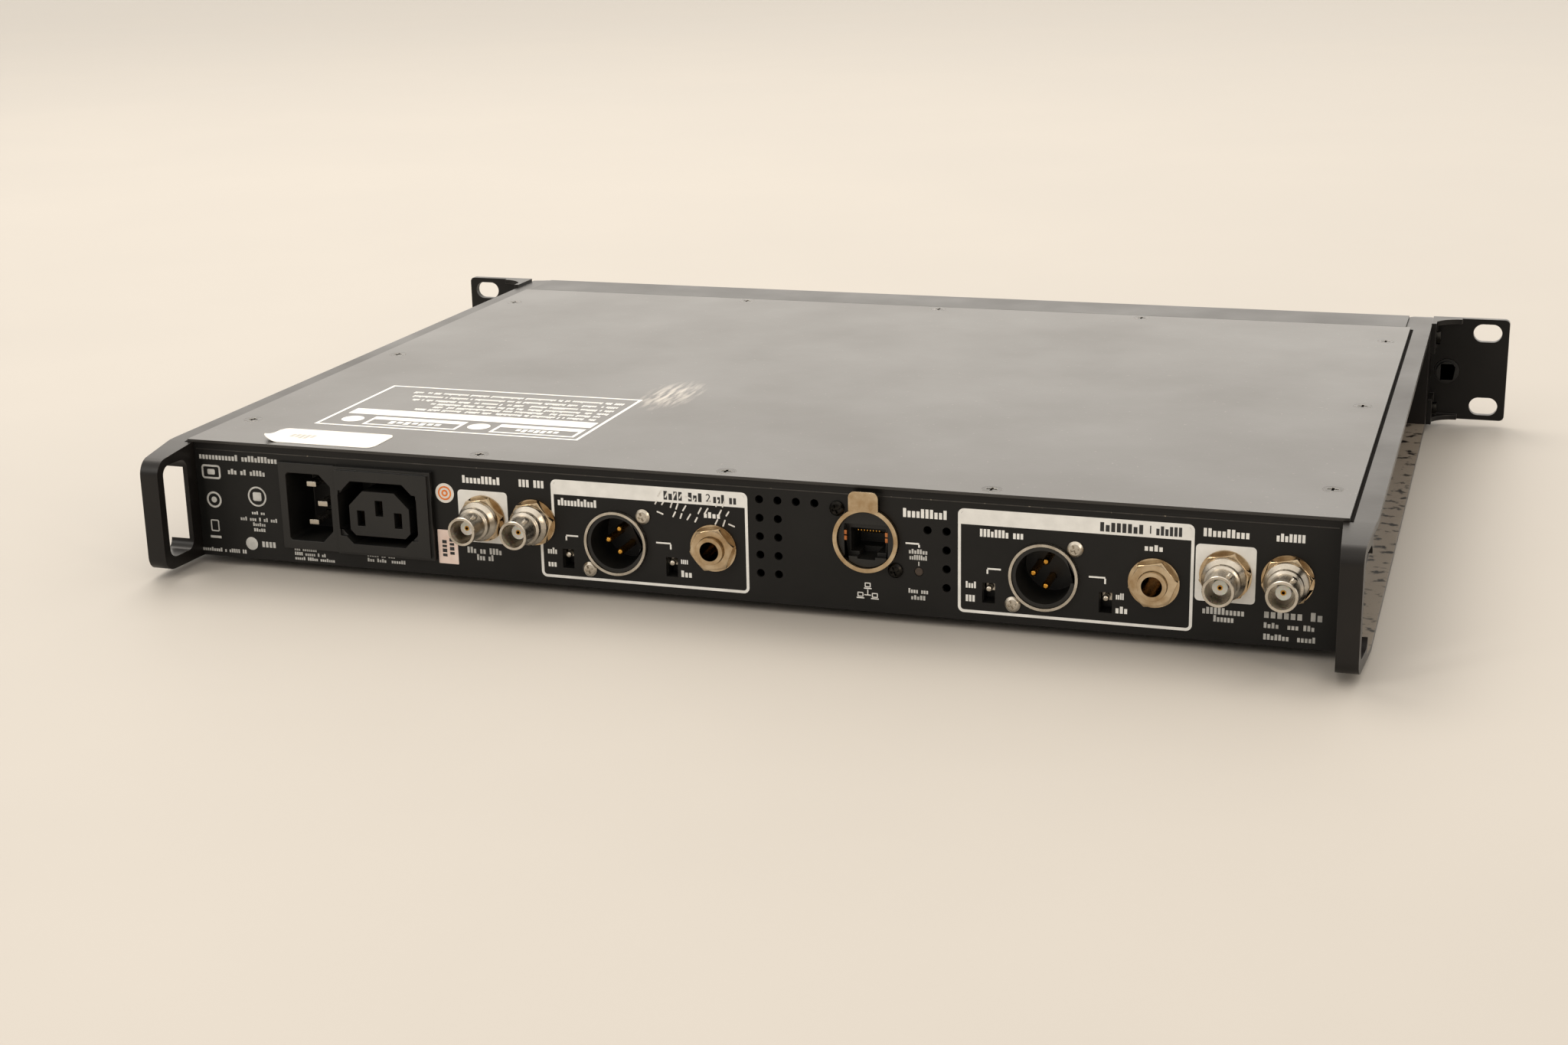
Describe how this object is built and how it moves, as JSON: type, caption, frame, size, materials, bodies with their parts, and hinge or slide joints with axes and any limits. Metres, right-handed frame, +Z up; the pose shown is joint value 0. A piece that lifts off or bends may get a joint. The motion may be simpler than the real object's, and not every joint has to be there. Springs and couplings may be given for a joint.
{
  "type": "wireless microphone receiver",
  "caption": "Rack-mount wireless receiver: shallow black steel case with slotted ears, looped side rails, and a rear panel of aerial, audio, network and mains sockets.",
  "frame": {"origin": "under the middle of the unit, on the surface that its feet stand on", "axes": "+Z up, -Y towards the front with the displays and knobs, +Y towards the sockets, +X to the right as seen from the front"},
  "size_m": [0.4826, 0.355, 0.0467],
  "materials": {
    "case_paint": "satin black powder coat with a fine grain",
    "panel_paint": "matt black paint with white print",
    "black_steel": "black oxide",
    "black_plastic": "moulded",
    "rubber": "matt",
    "fascia_paint": "satin",
    "display_lens": "clear smoked",
    "display_glass": "display behind its lens",
    "infrared_lens": "dark red, clear",
    "light_pipe": "translucent",
    "board_green": "solder resist",
    "supply_board": "paper laminate",
    "tin_plate": "tinned",
    "brass": "bright",
    "ribbon_grey": "flexible",
    "nickel": "nickel plated",
    "warm_nickel": "nickel plated, warm",
    "gold": "gold plated",
    "white_insulator": "moulded",
    "knob_plastic": "moulded, ribbed",
    "button_plastic": "moulded"
  },
  "bodies": {
    "unit": {"chassis_tray": "case_paint", "rear_panel": "panel_paint", "top_lid": "case_paint", "lid_screws": "black_steel", "left_rail": "case_paint", "right_rail": "case_paint", "side_screws": "black_steel", "left_ear": "case_paint", "right_ear": "case_paint", "ear_plugs": "black_plastic", "feet": "rubber", "fascia": "fascia_paint", "display_lenses": "display_lens", "display_modules": "display_glass", "infrared_windows": "infrared_lens", "indicator_lights": "light_pipe", "encoder_bodies": "tin_plate", "front_board": "board_green", "headphone_jack": "black_plastic", "rocker_housing": "black_plastic", "main_board": "board_green", "shield_cans": "tin_plate", "power_supply": "supply_board", "standoffs": "brass", "ribbon_cable": "ribbon_grey", "inlet_housing": "black_plastic", "inlet_blades": "nickel", "outlet_housing": "black_plastic", "outlet_contacts": "brass", "bnc_body_1": "nickel", "bnc_body_2": "nickel", "bnc_body_3": "nickel", "bnc_body_4": "nickel", "bnc_insulators": "white_insulator", "bnc_contacts": "gold", "connector_nuts": "warm_nickel", "xlr_shells": "nickel", "xlr_inserts": "black_plastic", "xlr_pins": "gold", "xlr_screws": "nickel", "jack_bodies": "warm_nickel", "network_shell": "warm_nickel", "network_insert": "black_plastic", "network_screws": "black_steel", "switch_housings": "black_plastic"},
    "lever_1": {"switch_lever_1": "nickel"},
    "lever_2": {"switch_lever_2": "nickel"},
    "lever_3": {"switch_lever_3": "nickel"},
    "lever_4": {"switch_lever_4": "nickel"},
    "rocker": {"power_rocker": "black_plastic"},
    "shaft_1": {"knob_shaft_1": "tin_plate"},
    "knob_1": {"control_knob_1": "knob_plastic"},
    "shaft_2": {"knob_shaft_2": "tin_plate"},
    "knob_2": {"control_knob_2": "knob_plastic"},
    "volume": {"volume_knob": "knob_plastic"},
    "enter_1": {"enter_button_1": "button_plastic"},
    "exit_1": {"exit_button_1": "button_plastic"},
    "enter_2": {"enter_button_2": "button_plastic"},
    "exit_2": {"exit_button_2": "button_plastic"},
    "latch": {"network_latch": "warm_nickel"}
  },
  "joints": [
    {"name": "switch_slide_1", "type": "slide", "parent": "unit", "child": "lever_1", "axis": [0, 0, -1], "range_m": [0, 0.0026]},
    {"name": "switch_slide_2", "type": "slide", "parent": "unit", "child": "lever_2", "axis": [0, 0, -1], "range_m": [0, 0.0026]},
    {"name": "switch_slide_3", "type": "slide", "parent": "unit", "child": "lever_3", "axis": [0, 0, -1], "range_m": [0, 0.0026]},
    {"name": "switch_slide_4", "type": "slide", "parent": "unit", "child": "lever_4", "axis": [0, 0, -1], "range_m": [0, 0.0026]},
    {"name": "power_tilt", "type": "hinge", "parent": "unit", "child": "rocker", "pos_m": [0.187, -0.1565, 0.0248], "axis": [1, 0, 0], "range_deg": [0, 16]},
    {"name": "knob_push_1", "type": "slide", "parent": "unit", "child": "shaft_1", "axis": [0, 1, 0], "range_m": [0, 0.0008], "stiffness_N_per_m": 1500, "springref_m": -0.0008},
    {"name": "knob_turn_1", "type": "hinge", "parent": "shaft_1", "child": "knob_1", "pos_m": [-0.062, -0.1665, 0.0248], "axis": [0, 1, 0], "continuous": true},
    {"name": "knob_push_2", "type": "slide", "parent": "unit", "child": "shaft_2", "axis": [0, 1, 0], "range_m": [0, 0.0008], "stiffness_N_per_m": 1500, "springref_m": -0.0008},
    {"name": "knob_turn_2", "type": "hinge", "parent": "shaft_2", "child": "knob_2", "pos_m": [0.108, -0.1665, 0.0248], "axis": [0, 1, 0], "continuous": true},
    {"name": "volume_turn", "type": "hinge", "parent": "unit", "child": "volume", "pos_m": [0.168, -0.1665, 0.0248], "axis": [0, 1, 0], "range_deg": [-150, 150]},
    {"name": "enter_push_1", "type": "slide", "parent": "unit", "child": "enter_1", "axis": [0, 1, 0], "range_m": [0, 0.001], "stiffness_N_per_m": 800, "springref_m": -0.001},
    {"name": "exit_push_1", "type": "slide", "parent": "unit", "child": "exit_1", "axis": [0, 1, 0], "range_m": [0, 0.001], "stiffness_N_per_m": 800, "springref_m": -0.001},
    {"name": "enter_push_2", "type": "slide", "parent": "unit", "child": "enter_2", "axis": [0, 1, 0], "range_m": [0, 0.001], "stiffness_N_per_m": 800, "springref_m": -0.001},
    {"name": "exit_push_2", "type": "slide", "parent": "unit", "child": "exit_2", "axis": [0, 1, 0], "range_m": [0, 0.001], "stiffness_N_per_m": 800, "springref_m": -0.001},
    {"name": "latch_press", "type": "hinge", "parent": "unit", "child": "latch", "pos_m": [-0.0496, 0.1425, 0.0411], "axis": [-1, 0, 0], "range_deg": [0, 4], "stiffness_Nm_per_rad": 0.02, "springref_deg": -17.19}
  ]
}
